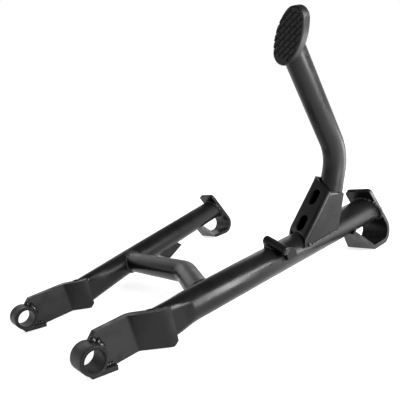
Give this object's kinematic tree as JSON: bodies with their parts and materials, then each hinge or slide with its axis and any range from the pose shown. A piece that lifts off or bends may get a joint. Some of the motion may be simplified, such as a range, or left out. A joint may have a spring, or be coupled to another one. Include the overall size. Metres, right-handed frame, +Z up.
{
  "type": "motorcycle centre stand",
  "caption": "Welded tubular motorcycle centre stand in black: two splayed legs with rolled foot loops, pivot eyes, a cross tube and a bent foot lever with an oval tread pad.",
  "frame": {"origin": "middle of the pivot axis, between the two pivot eyes", "axes": "+X along the pivot axis towards the left eye, on the foot lever's side; +Y back towards the feet; +Z up, with the stand lying on its two stop bars and two foot loops"},
  "size_m": [0.3577, 0.3931, 0.2794],
  "materials": {
    "powder_coat": "satin black powder coat over steel",
    "bush_liner": "black coated steel liner"
  },
  "bodies": {
    "root": {"left_leg_tube": "powder_coat", "right_leg_tube": "powder_coat", "left_arm_plate": "powder_coat", "right_arm_plate": "powder_coat", "left_pivot_eye": "powder_coat", "right_pivot_eye": "powder_coat", "left_pivot_bush": "bush_liner", "right_pivot_bush": "bush_liner", "left_stop_bar": "powder_coat", "right_stop_bar": "powder_coat", "cross_tube": "powder_coat", "left_foot_strip": "powder_coat", "right_foot_strip": "powder_coat", "lever_bracket": "powder_coat", "lever_tube": "powder_coat", "lever_pad": "powder_coat", "spring_pin": "powder_coat", "pin_saddle": "powder_coat", "pin_tab": "powder_coat", "spring_lug": "powder_coat"}
  },
  "joints": []
}
